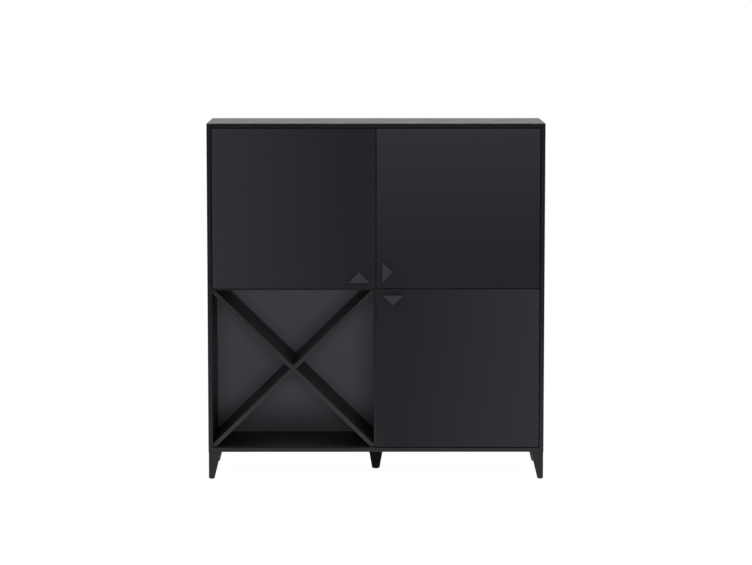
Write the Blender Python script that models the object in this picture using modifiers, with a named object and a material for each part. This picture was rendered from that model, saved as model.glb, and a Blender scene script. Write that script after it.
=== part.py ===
"""A highboard in dark board: three inset doors, an open bottle bay with a crossed divider, and tapered legs.

Metres, +Z up, the front faces -Y. The origin lies on the floor, under the middle of the whole piece of
furniture with its handles. Each door hangs from an empty on its hinge axis.
"""

import math

import bmesh
import bpy
from mathutils import Vector

# Whole cabinet
WIDTH = 1.300
HEIGHT = 1.380
DEPTH = 0.420
BOARD = 0.016
LEG_HEIGHT = 0.106
SEAT_GAP = 0.0003
EDGE_EASE = 0.0006
CUT_OVERRUN = 0.002

# Doors
DOOR_THICK = 0.016
DOOR_GAP = 0.003
DOOR_INSET = 0.001

# Back panels, held in grooves
BACK_THICK = 0.004
BACK_INSET = 0.016
GROOVE_DEPTH = 0.005

# Loose shelves and the pins that carry them
SHELF_THICK = 0.016
SHELF_SETBACK = 0.030
SHELF_END_GAP = 0.0015
SHELF_BACK_GAP = 0.002
PIN_RADIUS = 0.0025
PIN_IN = 0.0065
PIN_OUT = 0.0080
PIN_COLLAR_RADIUS = 0.0040
PIN_COLLAR_THICK = 0.0010
PIN_FROM_SHELF_EDGE = 0.045

# Crossed bottle divider
CROSS_THICK = 0.016
CROSS_BACK_GAP = 0.001

# Handles: a triangular wedge with a finger groove in its tall side
HANDLE_BASE = 0.082
HANDLE_RISE = 0.041
HANDLE_THICK = 0.018
HANDLE_TIP_THICK = 0.004
HANDLE_MARGIN = 0.023
GROOVE_RADIUS = 0.0055
GROOVE_END = 0.013
SCREW_RADIUS = 0.002
SCREW_BITE = 0.008
SCREW_HEAD_RADIUS = 0.0045
SCREW_HEAD_THICK = 0.0024
SCREW_FROM_BASE = 0.014
PIP_RADIUS = 0.002
PIP_LENGTH = 0.003
PIP_ASIDE = 0.018

# Concealed hinges
HINGE_FROM_END = 0.090
CUP_RADIUS = 0.0175
CUP_DEPTH = 0.0115
CUP_WALL = 0.0014
CUP_FROM_DOOR_EDGE = 0.005
FLANGE_THICK = 0.0012
FLANGE_WIDTH = 0.019
FLANGE_LENGTH = 0.056
ARM_HEIGHT = 0.013
ARM_PLATE_THICK = 0.003
ARM_PLATE_LENGTH = 0.034
ARM_PLATE_HEIGHT = 0.048
ARM_PLATE_FROM_DOOR = 0.020
ARM_DEPTH = 0.009
ARM_LENGTH = 0.062
ARM_FROM_DOOR = 0.006
ARM_BRIDGE = 0.007
NOSE_WIDTH = 0.009
NOSE_DEPTH = 0.006

# Bumpers between a closed door and the middle wall
BUMPER_RADIUS = 0.0028
BUMPER_THICK = 0.002
BUMPER_FROM_END = 0.060

# Legs and glides
LEG_TOP = 0.047
LEG_FOOT = 0.022
LEG_INSET = 0.001
MIDDLE_LEG_TOP = 0.065
MIDDLE_LEG_FOOT = 0.029
MIDDLE_LEG_BACK_SHARE = 0.57
LEG_EDGE_EASE = 0.001
STUD_RADIUS = 0.004
STUD_LENGTH = 0.009
GLIDE_RADIUS = 0.009
GLIDE_THICK = 0.003

# How finely round shapes are faceted
SMALL_SIDES = 16
LARGE_SIDES = 32

# Planes and lines that the pieces share
HANDLE_PROUD = SEAT_GAP + HANDLE_THICK - DOOR_INSET
FRONT_Y = (HANDLE_PROUD - DEPTH) / 2
BACK_Y = FRONT_Y + DEPTH
DOOR_FRONT_Y = FRONT_Y + DOOR_INSET
DOOR_BACK_Y = DOOR_FRONT_Y + DOOR_THICK
INNER_FRONT_Y = DOOR_BACK_Y + BUMPER_THICK + 2 * SEAT_GAP
PANEL_BACK_Y = BACK_Y - BACK_INSET
PANEL_FRONT_Y = PANEL_BACK_Y - BACK_THICK
INNER_X = WIDTH / 2 - BOARD
MIDDLE_X = BOARD / 2
FLOOR_Z = LEG_HEIGHT + BOARD
CEILING_Z = HEIGHT - BOARD
MIDDLE_Z = (FLOOR_Z + CEILING_Z) / 2
LOW_SHELF_Z = MIDDLE_Z - BOARD / 2
HIGH_SHELF_Z = MIDDLE_Z + BOARD / 2
DOOR_HEIGHT = (CEILING_Z - FLOOR_Z - 3 * DOOR_GAP) / 2
SHELF_FRONT_Y = INNER_FRONT_Y + SHELF_SETBACK
SHELF_BACK_Y = PANEL_FRONT_Y - SHELF_BACK_GAP
CUP_FROM_EDGE = CUP_FROM_DOOR_EDGE + CUP_RADIUS
WELD_DISTANCE = SEAT_GAP / 10

# Side of each door's hinges, whether it is in the upper row, and how far its handle is turned
DOORS = {
    "upper_left": (-1, True, 0.0),
    "upper_right": (1, True, math.pi / 2),
    "lower_right": (1, False, math.pi),
}

# Finishes: linear colour, roughness, metallic
FINISHES = {
    "carcass_board": ((0.021, 0.021, 0.023), 0.45, 0.0),
    "door_board": ((0.017, 0.017, 0.021), 0.38, 0.0),
    "back_board": ((0.040, 0.037, 0.041), 0.60, 0.0),
    "handle_lacquer": ((0.036, 0.035, 0.041), 0.32, 0.0),
    "leg_lacquer": ((0.020, 0.020, 0.021), 0.40, 0.0),
    "hinge_steel": ((0.560, 0.560, 0.550), 0.30, 1.0),
    "pin_steel": ((0.500, 0.500, 0.490), 0.35, 1.0),
    "clear_bumper": ((0.700, 0.700, 0.690), 0.40, 0.0),
    "glide_plastic": ((0.012, 0.012, 0.012), 0.55, 0.0),
}


def empty_scene():
    """Remove every object, so that the cabinet stands alone."""
    for old in list(bpy.data.objects):
        bpy.data.objects.remove(old, do_unlink=True)


def collection(name):
    """A new collection under the scene's own."""
    group = bpy.data.collections.new(name)
    bpy.context.scene.collection.children.link(group)
    return group


def finish(name):
    """The material of one finish, made the first time that it is asked for."""
    material = bpy.data.materials.get(name)
    if material is None:
        colour, roughness, metallic = FINISHES[name]
        material = bpy.data.materials.new(name)
        material.use_nodes = True
        shader = material.node_tree.nodes["Principled BSDF"]
        shader.inputs["Base Color"].default_value = (*colour, 1.0)
        shader.inputs["Roughness"].default_value = roughness
        shader.inputs["Metallic"].default_value = metallic
    return material


def add_piece(name, mesh, finish_name, place, turn=(0, 0, 0), parent=None):
    """Put a mesh in the cabinet as one named piece, at a place given in the world."""
    piece = bpy.data.objects.new(name, mesh)
    bpy.data.collections["highboard"].objects.link(piece)
    mesh.materials.append(finish(finish_name))
    piece.location = Vector(place)
    piece.rotation_euler = turn
    if parent is not None:
        piece.parent = parent
        piece.location = Vector(place) - parent.location
    return piece


def add_tool(name, mesh, place, turn=(0, 0, 0), parent=None):
    """Put a mesh among the hidden shapes that cut or complete the pieces."""
    tool = bpy.data.objects.new(name, mesh)
    bpy.data.collections["highboard_tools"].objects.link(tool)
    tool.hide_render = True
    tool.display_type = "WIRE"
    tool.location = Vector(place)
    tool.rotation_euler = turn
    if parent is not None:
        tool.parent = parent
        tool.location = Vector(place) - parent.location
    return tool


def combine(piece, tool, operation="DIFFERENCE"):
    """Cut a piece with a hidden shape, or join the shape to it."""
    modifier = piece.modifiers.new(operation.title(), "BOOLEAN")
    modifier.operation = operation
    modifier.object = tool


def ease_edges(piece, width):
    """Take the sharpness off every edge."""
    bevel = piece.modifiers.new("Eased edges", "BEVEL")
    bevel.width = width
    bevel.segments = 1
    bevel.limit_method = "ANGLE"


def box_mesh(name, size):
    """A box of the given size about its middle."""
    mesh = bpy.data.meshes.new(name)
    shape = bmesh.new()
    bmesh.ops.create_cube(shape, size=1)
    bmesh.ops.scale(shape, vec=size, verts=shape.verts)
    shape.to_mesh(mesh)
    shape.free()
    return mesh


def rod_mesh(name, radius, length, sides=SMALL_SIDES):
    """A plain round rod about its middle, along Z."""
    mesh = bpy.data.meshes.new(name)
    shape = bmesh.new()
    bmesh.ops.create_cone(
        shape, cap_ends=True, segments=sides, radius1=radius, radius2=radius, depth=length
    )
    shape.to_mesh(mesh)
    shape.free()
    return mesh


def outline_mesh(name, points, thickness):
    """A flat outline in local X and Y, given a thickness along Z, with its faces welded."""
    curve = bpy.data.curves.new(name, "CURVE")
    curve.dimensions = "2D"
    curve.fill_mode = "BOTH"
    curve.extrude = thickness / 2
    spline = curve.splines.new("POLY")
    spline.points.add(len(points) - 1)
    for point, (x, y) in zip(spline.points, points):
        point.co = (x, y, 0, 1)
    spline.use_cyclic_u = True
    outline = bpy.data.objects.new(name, curve)
    bpy.context.scene.collection.objects.link(outline)
    view = bpy.context.evaluated_depsgraph_get()
    mesh = bpy.data.meshes.new_from_object(outline.evaluated_get(view))
    bpy.data.objects.remove(outline, do_unlink=True)
    shape = bmesh.new()
    shape.from_mesh(mesh)
    bmesh.ops.remove_doubles(shape, verts=shape.verts, dist=WELD_DISTANCE)
    bmesh.ops.recalc_face_normals(shape, faces=shape.faces)
    shape.to_mesh(mesh)
    shape.free()
    return mesh


def profile_mesh(name, points):
    """A line of edges in local X and Z, ready to be turned about Z."""
    mesh = bpy.data.meshes.new(name)
    edges = [(i, i + 1) for i in range(len(points) - 1)]
    mesh.from_pydata([(x, 0, z) for x, z in points], edges, [])
    return mesh


def turn_profile(piece, sides):
    """Turn a piece's profile about its own Z axis and close it on the axis."""
    screw = piece.modifiers.new("Turned", "SCREW")
    screw.axis = "Z"
    screw.steps = sides
    screw.render_steps = sides
    screw.use_merge_vertices = True
    screw.merge_threshold = WELD_DISTANCE
    screw.use_smooth_shade = False


def board(name, low, high, finish_name, parent=None, ease=EDGE_EASE):
    """A flat board between two opposite corners, with eased edges."""
    low = Vector(low)
    high = Vector(high)
    piece = add_piece(name, box_mesh(name, high - low), finish_name, (low + high) / 2, parent=parent)
    ease_edges(piece, ease)
    return piece


def cut_box(piece, low, high):
    """Cut a box-shaped groove or notch from a piece."""
    low = Vector(low)
    high = Vector(high)
    name = f"{piece.name}_cut_{len(piece.modifiers)}"
    combine(piece, add_tool(name, box_mesh(name, high - low), (low + high) / 2))


def cut_bore(piece, radius, start, end, sides=SMALL_SIDES):
    """Cut a round bore from a piece, between two points on the bore's axis."""
    start = Vector(start)
    end = Vector(end)
    run = end - start
    name = f"{piece.name}_bore_{len(piece.modifiers)}"
    turn = run.to_track_quat("Z", "Y").to_euler()
    mesh = rod_mesh(name, radius, run.length, sides)
    combine(piece, add_tool(name, mesh, (start + end) / 2, turn, piece.parent))


def make_panels():
    """The top and bottom panels, full width, and the two side panels between them."""
    half = WIDTH / 2
    pieces = {
        "top_panel": ((-half, FRONT_Y, CEILING_Z), (half, BACK_Y, HEIGHT)),
        "bottom_panel": ((-half, FRONT_Y, LEG_HEIGHT), (half, BACK_Y, FLOOR_Z)),
        "left_side": ((-half, FRONT_Y, FLOOR_Z + SEAT_GAP), (-INNER_X, BACK_Y, CEILING_Z - SEAT_GAP)),
        "right_side": ((INNER_X, FRONT_Y, FLOOR_Z + SEAT_GAP), (half, BACK_Y, CEILING_Z - SEAT_GAP)),
        "middle_wall": (
            (-MIDDLE_X, INNER_FRONT_Y, FLOOR_Z + SEAT_GAP),
            (MIDDLE_X, BACK_Y, CEILING_Z - SEAT_GAP),
        ),
    }
    return {name: board(name, low, high, "carcass_board") for name, (low, high) in pieces.items()}


def make_back_panels(panels):
    """A thin back panel for each column, and the grooves that hold it on all four sides."""
    near = PANEL_FRONT_Y - SEAT_GAP
    far = PANEL_BACK_Y + SEAT_GAP
    floor = FLOOR_Z - GROOVE_DEPTH
    ceiling = CEILING_Z + GROOVE_DEPTH
    for side, name in ((-1, "left"), (1, "right")):
        left, right = sorted((side * (INNER_X + GROOVE_DEPTH), side * (MIDDLE_X - GROOVE_DEPTH)))
        low = Vector((left + SEAT_GAP, PANEL_FRONT_Y, floor + SEAT_GAP))
        high = Vector((right - SEAT_GAP, PANEL_BACK_Y, ceiling - SEAT_GAP))
        board(f"back_panel_{name}", low, high, "back_board", ease=EDGE_EASE / 2)
        cut_box(panels["bottom_panel"], (left, near, floor), (right, far, FLOOR_Z + CUT_OVERRUN))
        cut_box(panels["top_panel"], (left, near, CEILING_Z - CUT_OVERRUN), (right, far, ceiling))
        outer = sorted((side * (INNER_X + GROOVE_DEPTH), side * (INNER_X - CUT_OVERRUN)))
        cut_box(
            panels[f"{name}_side"],
            (outer[0], near, FLOOR_Z - CUT_OVERRUN),
            (outer[1], far, CEILING_Z + CUT_OVERRUN),
        )
        inner = sorted((side * (MIDDLE_X - GROOVE_DEPTH), side * (MIDDLE_X + CUT_OVERRUN)))
        cut_box(
            panels["middle_wall"],
            (inner[0], near, FLOOR_Z - CUT_OVERRUN),
            (inner[1], far, CEILING_Z + CUT_OVERRUN),
        )


def make_fixed_shelves():
    """The shelf that parts the upper from the lower row, in two lengths."""
    for side, name in ((-1, "left"), (1, "right")):
        left, right = sorted((side * (INNER_X - SEAT_GAP), side * (MIDDLE_X + SEAT_GAP)))
        low = (left, INNER_FRONT_Y, LOW_SHELF_Z)
        high = (right, PANEL_FRONT_Y - SEAT_GAP, HIGH_SHELF_Z)
        board(f"fixed_shelf_{name}", low, high, "carcass_board")


def make_loose_shelf(name, side, upper, panels):
    """A shelf behind one door, on four pins that stand in bores in the walls beside it."""
    floor = HIGH_SHELF_Z if upper else FLOOR_Z
    ceiling = CEILING_Z if upper else LOW_SHELF_Z
    shelf_z = (floor + ceiling - SHELF_THICK) / 2
    left, right = sorted((side * INNER_X, side * MIDDLE_X))
    low = (left + SHELF_END_GAP, SHELF_FRONT_Y, shelf_z)
    high = (right - SHELF_END_GAP, SHELF_BACK_Y, shelf_z + SHELF_THICK)
    board(f"{name}_shelf", low, high, "carcass_board")
    pin_z = shelf_z - SEAT_GAP - PIN_RADIUS
    walls = (
        ("outer", side * INNER_X, side, panels["left_side" if side < 0 else "right_side"]),
        ("inner", side * MIDDLE_X, -side, panels["middle_wall"]),
    )
    rows = (
        ("front", SHELF_FRONT_Y + PIN_FROM_SHELF_EDGE),
        ("back", SHELF_BACK_Y - PIN_FROM_SHELF_EDGE),
    )
    for wall_name, wall_x, outward, wall in walls:
        for row_name, pin_y in rows:
            make_pin(f"{name}_shelf_pin_{wall_name}_{row_name}", (wall_x, pin_y, pin_z), outward)
            start = (wall_x - outward * CUT_OVERRUN, pin_y, pin_z)
            end = (wall_x + outward * (PIN_IN + SEAT_GAP), pin_y, pin_z)
            cut_bore(wall, PIN_RADIUS + SEAT_GAP, start, end)


def make_pin(name, place, outward):
    """A shelf pin with a collar against the wall, turned about its own axis."""
    collar_in = -SEAT_GAP
    collar_out = collar_in - PIN_COLLAR_THICK
    profile = (
        (0, PIN_IN),
        (PIN_RADIUS, PIN_IN),
        (PIN_RADIUS, collar_in),
        (PIN_COLLAR_RADIUS, collar_in),
        (PIN_COLLAR_RADIUS, collar_out),
        (PIN_RADIUS, collar_out),
        (PIN_RADIUS, -PIN_OUT),
        (0, -PIN_OUT),
    )
    turn = (0, outward * math.pi / 2, 0)
    pin = add_piece(name, profile_mesh(name, profile), "pin_steel", place, turn)
    turn_profile(pin, SMALL_SIDES)


def make_cross():
    """Two boards from corner to corner of the open bay, halved into each other where they cross."""
    left = -INNER_X + SEAT_GAP
    right = -MIDDLE_X - SEAT_GAP
    low = FLOOR_Z + SEAT_GAP
    high = LOW_SHELF_Z - SEAT_GAP
    width = right - left
    height = high - low
    near = INNER_FRONT_Y
    far = PANEL_FRONT_Y - CROSS_BACK_GAP
    middle_y = (near + far) / 2
    middle = ((left + right) / 2, middle_y, (low + high) / 2)
    slope = math.atan2(height, width)
    across = CROSS_THICK / 2 / math.sin(slope)
    along = CROSS_THICK / 2 / math.cos(slope)
    rising = (
        (-width / 2, -height / 2),
        (-width / 2 + across, -height / 2),
        (width / 2, height / 2 - along),
        (width / 2, height / 2),
        (width / 2 - across, height / 2),
        (-width / 2, -height / 2 + along),
    )
    falling = tuple((-x, z) for x, z in rising)
    notch_length = 4 * CROSS_THICK
    notch_depth = (far - near) / 2 + CUT_OVERRUN
    notch_size = (notch_length, notch_depth, CROSS_THICK + 2 * SEAT_GAP)
    notch_shift = (notch_depth - SEAT_GAP) / 2
    for name, outline, notch_slope, notch_side in (
        ("cross_board_rising", rising, slope, -1),
        ("cross_board_falling", falling, -slope, 1),
    ):
        mesh = outline_mesh(name, outline, far - near)
        piece = add_piece(name, mesh, "carcass_board", middle, (math.pi / 2, 0, 0))
        ease_edges(piece, EDGE_EASE)
        notch_name = f"{name}_notch"
        notch_place = (middle[0], middle_y + notch_side * notch_shift, middle[2])
        notch_mesh = box_mesh(notch_name, notch_size)
        combine(piece, add_tool(notch_name, notch_mesh, notch_place, (0, notch_slope, 0)))


def make_leg(name, top_size, foot_size, top_middle, foot_middle, bottom_panel):
    """A tapered leg with a threaded stud up into the bottom panel, and a glide under its foot."""
    foot_z = GLIDE_THICK + SEAT_GAP
    top_z = LEG_HEIGHT - SEAT_GAP
    top_middle = Vector((*top_middle, top_z))
    foot_middle = Vector((*foot_middle, foot_z))
    mesh = box_mesh(name, (top_size, top_size, top_z - foot_z))
    middle_z = (top_z + foot_z) / 2
    for corner in mesh.vertices:
        if corner.co.z < 0:
            corner.co.x = corner.co.x * foot_size / top_size + foot_middle.x - top_middle.x
            corner.co.y = corner.co.y * foot_size / top_size + foot_middle.y - top_middle.y
    leg = add_piece(name, mesh, "leg_lacquer", (top_middle.x, top_middle.y, middle_z))
    ease_edges(leg, LEG_EDGE_EASE)
    stud_name = f"{name}_stud"
    stud_length = STUD_LENGTH + CUT_OVERRUN
    stud_place = (top_middle.x, top_middle.y, top_z + STUD_LENGTH - stud_length / 2)
    stud = add_tool(stud_name, rod_mesh(stud_name, STUD_RADIUS, stud_length), stud_place)
    combine(leg, stud, "UNION")
    bore_start = (top_middle.x, top_middle.y, LEG_HEIGHT - CUT_OVERRUN)
    bore_end = (top_middle.x, top_middle.y, top_z + STUD_LENGTH + SEAT_GAP)
    cut_bore(bottom_panel, STUD_RADIUS + SEAT_GAP, bore_start, bore_end)
    glide_name = name.replace("leg", "glide")
    glide = add_piece(
        glide_name,
        rod_mesh(glide_name, GLIDE_RADIUS, GLIDE_THICK),
        "glide_plastic",
        (foot_middle.x, foot_middle.y, GLIDE_THICK / 2),
    )
    ease_edges(glide, EDGE_EASE)


def make_legs(bottom_panel):
    """Four corner legs that taper towards the outer corners, and a middle leg that tapers evenly."""
    edge_x = WIDTH / 2 - LEG_INSET
    front = FRONT_Y + LEG_INSET
    back = BACK_Y - LEG_INSET
    for side, side_name in ((-1, "left"), (1, "right")):
        for end_name, edge_y, inward in (("front", front, 1), ("back", back, -1)):
            make_leg(
                f"leg_{end_name}_{side_name}",
                LEG_TOP,
                LEG_FOOT,
                (side * (edge_x - LEG_TOP / 2), edge_y + inward * LEG_TOP / 2),
                (side * (edge_x - LEG_FOOT / 2), edge_y + inward * LEG_FOOT / 2),
                bottom_panel,
            )
    middle_y = FRONT_Y + MIDDLE_LEG_BACK_SHARE * DEPTH
    make_leg("leg_middle", MIDDLE_LEG_TOP, MIDDLE_LEG_FOOT, (0, middle_y), (0, middle_y), bottom_panel)


def make_handle(name, door, place, turn, axis):
    """A triangular wedge pull with a finger groove, its screw, and their bores in the door."""
    half = HANDLE_BASE / 2
    mesh = outline_mesh(name, ((-half, 0), (half, 0), (0, HANDLE_RISE)), HANDLE_THICK)
    for corner in mesh.vertices:
        if corner.co.y > HANDLE_RISE / 2 and corner.co.z > 0:
            corner.co.z = HANDLE_TIP_THICK - HANDLE_THICK / 2
    spin = (math.pi / 2, turn, 0)
    rise = Vector((math.sin(turn), 0, math.cos(turn)))
    aside = Vector((math.cos(turn), 0, -math.sin(turn)))
    out = Vector((0, -1, 0))
    base = Vector((place[0], DOOR_FRONT_Y - SEAT_GAP, place[1]))
    handle = add_piece(f"{name}_handle", mesh, "handle_lacquer", base + out * HANDLE_THICK / 2, spin, axis)
    ease_edges(handle, EDGE_EASE)
    overrun = out * CUT_OVERRUN
    groove_run = aside * (HANDLE_BASE / 2 - GROOVE_END)
    groove_middle = base + out * HANDLE_THICK / 2
    cut_bore(handle, GROOVE_RADIUS, groove_middle - groove_run, groove_middle + groove_run)
    screw_line = base + rise * SCREW_FROM_BASE
    screw_end = screw_line + out * (SCREW_BITE + SEAT_GAP)
    door_back = screw_line - out * (DOOR_THICK + SEAT_GAP)
    bore_radius = SCREW_RADIUS + SEAT_GAP
    cut_bore(handle, bore_radius, screw_line - overrun, screw_end)
    cut_bore(door, bore_radius, door_back - overrun, screw_line + overrun)
    pip_name = f"{name}_handle_pip"
    pip_length = PIP_LENGTH + CUT_OVERRUN
    pip_foot = screw_line + aside * PIP_ASIDE
    pip_middle = pip_foot - out * (pip_length / 2 - CUT_OVERRUN)
    pip_end = pip_foot - out * (PIP_LENGTH + 2 * SEAT_GAP)
    pip_mesh = rod_mesh(pip_name, PIP_RADIUS, pip_length)
    combine(handle, add_tool(pip_name, pip_mesh, pip_middle, (math.pi / 2, 0, 0), axis), "UNION")
    cut_bore(door, PIP_RADIUS + SEAT_GAP, pip_foot + overrun, pip_end)
    make_screw(f"{name}_handle_screw", door_back - out * SEAT_GAP, axis)


def make_screw(name, place, axis):
    """A handle screw, its head against the door's back and its shank forward into the handle."""
    length = SEAT_GAP + DOOR_THICK + SEAT_GAP + SCREW_BITE
    profile = (
        (0, length),
        (SCREW_RADIUS, length),
        (SCREW_RADIUS, 0),
        (SCREW_HEAD_RADIUS, 0),
        (SCREW_HEAD_RADIUS, -SCREW_HEAD_THICK),
        (0, -SCREW_HEAD_THICK),
    )
    screw = add_piece(name, profile_mesh(name, profile), "pin_steel", place, (math.pi / 2, 0, 0), axis)
    turn_profile(screw, SMALL_SIDES)


def make_hinge_cup(name, door, place, side, axis):
    """The cup and flange in the door's back: open towards the inside, where the arm enters."""
    inner = CUP_RADIUS - CUP_WALL
    rim = FLANGE_THICK
    profile = (
        (0, CUP_WALL - CUP_DEPTH),
        (inner, CUP_WALL - CUP_DEPTH),
        (inner, rim),
        (CUP_RADIUS, rim),
        (CUP_RADIUS, -CUP_DEPTH),
        (0, -CUP_DEPTH),
    )
    x, z = place
    seat_y = DOOR_BACK_Y + SEAT_GAP
    turn = (-math.pi / 2, 0, 0)
    cup = add_piece(name, profile_mesh(name, profile), "hinge_steel", (x, seat_y, z), turn, axis)
    turn_profile(cup, LARGE_SIDES)
    flange_name = f"{name}_flange"
    flange_size = (FLANGE_WIDTH, FLANGE_THICK, FLANGE_LENGTH)
    flange_x = x - side * CUP_WALL
    flange_place = (flange_x, seat_y + FLANGE_THICK / 2, z)
    flange = add_tool(flange_name, box_mesh(flange_name, flange_size), flange_place, parent=axis)
    mouth_name = f"{name}_mouth"
    mouth_mesh = rod_mesh(mouth_name, inner - WELD_DISTANCE, 4 * FLANGE_THICK, LARGE_SIDES)
    combine(flange, add_tool(mouth_name, mouth_mesh, (x, seat_y, z), turn, axis))
    combine(cup, flange, "UNION")
    bore_start = (x, DOOR_BACK_Y + CUT_OVERRUN, z)
    bore_end = (x, DOOR_BACK_Y - CUP_DEPTH, z)
    cut_bore(door, CUP_RADIUS + SEAT_GAP, bore_start, bore_end, LARGE_SIDES)


def make_hinge_arm(name, side, cup_x, z):
    """The arm on the side panel: a mounting plate, a body along the wall, and a nose into the cup."""
    wall = side * INNER_X
    cup = abs(cup_x - wall)
    crest = SEAT_GAP + ARM_PLATE_THICK + ARM_DEPTH
    points = (
        (SEAT_GAP, ARM_FROM_DOOR),
        (cup - NOSE_WIDTH / 2, ARM_FROM_DOOR),
        (cup - NOSE_WIDTH / 2, -NOSE_DEPTH),
        (cup + NOSE_WIDTH / 2, -NOSE_DEPTH),
        (cup + NOSE_WIDTH / 2, ARM_FROM_DOOR + ARM_BRIDGE),
        (crest, ARM_FROM_DOOR + ARM_BRIDGE),
        (crest, ARM_FROM_DOOR + ARM_LENGTH),
        (SEAT_GAP, ARM_FROM_DOOR + ARM_LENGTH),
    )
    outline = tuple((-side * u, v) for u, v in points)
    arm_mesh = outline_mesh(name, outline, ARM_HEIGHT)
    arm = add_piece(name, arm_mesh, "hinge_steel", (wall, DOOR_BACK_Y, z))
    plate_name = f"{name}_plate"
    plate_size = (ARM_PLATE_THICK, ARM_PLATE_LENGTH, ARM_PLATE_HEIGHT)
    plate_place = (
        wall - side * (SEAT_GAP + ARM_PLATE_THICK / 2),
        DOOR_BACK_Y + ARM_PLATE_FROM_DOOR + ARM_PLATE_LENGTH / 2,
        z,
    )
    plate_tool = add_tool(plate_name, box_mesh(plate_name, plate_size), plate_place)
    combine(arm, plate_tool, "UNION")


def make_bumper(name, side, z):
    """A clear bumper on the middle wall's front edge, where the door's free edge closes on it."""
    x = side * (DOOR_GAP / 2 + MIDDLE_X) / 2
    y = INNER_FRONT_Y - SEAT_GAP - BUMPER_THICK / 2
    mesh = rod_mesh(name, BUMPER_RADIUS, BUMPER_THICK)
    bumper = add_piece(name, mesh, "clear_bumper", (x, y, z), (math.pi / 2, 0, 0))
    ease_edges(bumper, EDGE_EASE / 2)


def make_door(name, side, upper, handle_turn, panels):
    """One inset door on its hinge axis, with its handle, hinges, bumper, shelf and pins."""
    edge_x = side * (INNER_X - DOOR_GAP)
    free_x = side * DOOR_GAP / 2
    low_z = MIDDLE_Z + DOOR_GAP / 2 if upper else FLOOR_Z + DOOR_GAP
    high_z = low_z + DOOR_HEIGHT
    axis = bpy.data.objects.new(f"{name}_door_axis", None)
    bpy.data.collections["highboard"].objects.link(axis)
    axis.location = (edge_x, DOOR_FRONT_Y, (low_z + high_z) / 2)
    left, right = sorted((edge_x, free_x))
    low = (left, DOOR_FRONT_Y, low_z)
    high = (right, DOOR_BACK_Y, high_z)
    door = board(f"{name}_door", low, high, "door_board", axis)
    row = 1 if upper else -1
    corner_z = low_z if upper else high_z
    middle = HANDLE_MARGIN + HANDLE_BASE / 2
    sideways = math.isclose(abs(math.sin(handle_turn)), 1)
    handle_x = free_x + side * (HANDLE_MARGIN if sideways else middle)
    handle_z = corner_z + row * (middle if sideways else HANDLE_MARGIN)
    make_handle(name, door, (handle_x, handle_z), handle_turn, axis)
    cup_x = edge_x - side * CUP_FROM_EDGE
    for end_name, hinge_z in (("low", low_z + HINGE_FROM_END), ("high", high_z - HINGE_FROM_END)):
        make_hinge_cup(f"{name}_hinge_cup_{end_name}", door, (cup_x, hinge_z), side, axis)
        make_hinge_arm(f"{name}_hinge_arm_{end_name}", side, cup_x, hinge_z)
    bumper_z = high_z - BUMPER_FROM_END if upper else low_z + BUMPER_FROM_END
    make_bumper(f"{name}_bumper", side, bumper_z)
    make_loose_shelf(name, side, upper, panels)


def main():
    """Build the whole highboard."""
    empty_scene()
    collection("highboard")
    collection("highboard_tools")
    panels = make_panels()
    make_back_panels(panels)
    make_fixed_shelves()
    make_cross()
    make_legs(panels["bottom_panel"])
    for name, (side, upper, handle_turn) in DOORS.items():
        make_door(name, side, upper, handle_turn, panels)


main()
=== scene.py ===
"""The dressed highboard: banded boards, doors on concealed hinges, pulls, legs and a plain studio stage.

Metres, +Z up, the front faces -Y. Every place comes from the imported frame, and each new piece stands where
the frame's own solid stands.
"""

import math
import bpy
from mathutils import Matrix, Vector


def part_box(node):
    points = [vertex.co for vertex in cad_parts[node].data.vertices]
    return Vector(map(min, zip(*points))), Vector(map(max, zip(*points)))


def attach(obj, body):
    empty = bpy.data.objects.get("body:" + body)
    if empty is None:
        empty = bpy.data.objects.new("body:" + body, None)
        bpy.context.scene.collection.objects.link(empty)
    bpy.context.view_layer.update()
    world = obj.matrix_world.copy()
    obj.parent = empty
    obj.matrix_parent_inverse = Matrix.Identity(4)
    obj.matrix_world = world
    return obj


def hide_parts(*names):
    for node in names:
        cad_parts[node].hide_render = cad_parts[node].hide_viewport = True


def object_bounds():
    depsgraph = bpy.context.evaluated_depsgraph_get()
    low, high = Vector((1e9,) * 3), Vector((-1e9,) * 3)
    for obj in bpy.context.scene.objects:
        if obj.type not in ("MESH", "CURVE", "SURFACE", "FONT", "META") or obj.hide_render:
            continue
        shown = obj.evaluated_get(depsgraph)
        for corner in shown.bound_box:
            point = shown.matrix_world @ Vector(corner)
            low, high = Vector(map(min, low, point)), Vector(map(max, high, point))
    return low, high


bl_info = {
    "name": "Highboard with crossed bottle bay",
    "version": (1, 0, 0),
    "blender": (4, 5, 0),
    "location": "View3D > Sidebar > Highboard",
    "description": "Dresses the highboard's frame with boards, doors, hinges, pulls, legs and a stage",
    "category": "Object",
}

from contextlib import contextmanager

import bmesh
import bpy
from bpy.props import FloatProperty, FloatVectorProperty, IntProperty, PointerProperty
from mathutils import Vector

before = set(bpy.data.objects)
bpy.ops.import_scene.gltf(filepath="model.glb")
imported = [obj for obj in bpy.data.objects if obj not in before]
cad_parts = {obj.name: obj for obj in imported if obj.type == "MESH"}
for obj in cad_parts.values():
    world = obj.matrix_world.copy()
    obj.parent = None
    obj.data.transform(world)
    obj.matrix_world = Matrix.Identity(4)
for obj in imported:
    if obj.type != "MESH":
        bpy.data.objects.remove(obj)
FRAME_LOW, FRAME_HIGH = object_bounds()

MM = 0.001
# Tolerance of tests, gap around a seated piece, and how far a cutter passes the face that it cuts
NEAR = 0.02 * MM
SEAT_GAP = 0.3 * MM
OVERRUN = 2 * MM
SMOOTH_ANGLE = math.radians(40)
SHARP_ANGLE = math.radians(50)
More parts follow.
